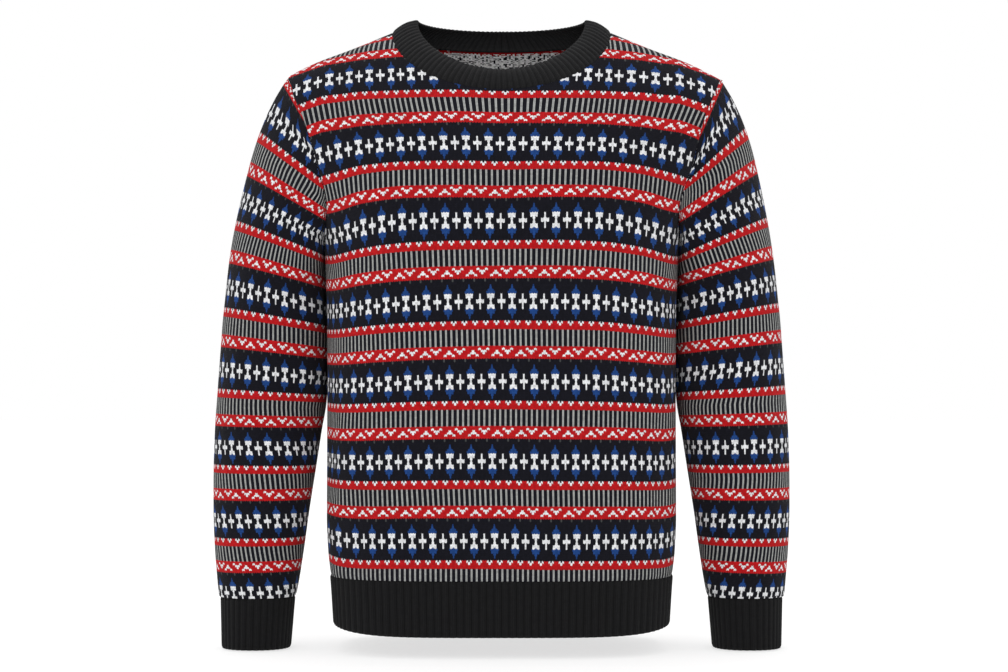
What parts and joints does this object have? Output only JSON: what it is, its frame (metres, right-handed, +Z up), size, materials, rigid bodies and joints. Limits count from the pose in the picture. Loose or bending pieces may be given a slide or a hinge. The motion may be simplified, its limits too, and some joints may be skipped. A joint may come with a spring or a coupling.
{
  "type": "fair isle jumper",
  "caption": "Crew-neck knitted jumper with banded fair isle patterning, long set-in sleeves and plain dark ribbed neck, cuffs and hem, filled out as worn.",
  "frame": {"origin": "middle of the neck's base, on the line between the neck ends of the two shoulder seams, where the jumper hangs on its wearer's shoulders", "axes": "+Z up, the front faces -Y, +X to the wearer's left"},
  "size_m": [0.6492, 0.2353, 0.7079],
  "materials": {
    "patterned_knit": "matt wool in bands of red, white, royal blue, grey and near-black stitches",
    "rib_knit": "matt near-black ribbed wool"
  },
  "bodies": {
    "root": {"front": "patterned_knit", "back": "patterned_knit", "sleeve_left": "patterned_knit", "sleeve_right": "patterned_knit", "neckband": "rib_knit", "hem_rib_front": "rib_knit", "hem_rib_back": "rib_knit", "cuff_left": "rib_knit", "cuff_right": "rib_knit"}
  },
  "joints": []
}
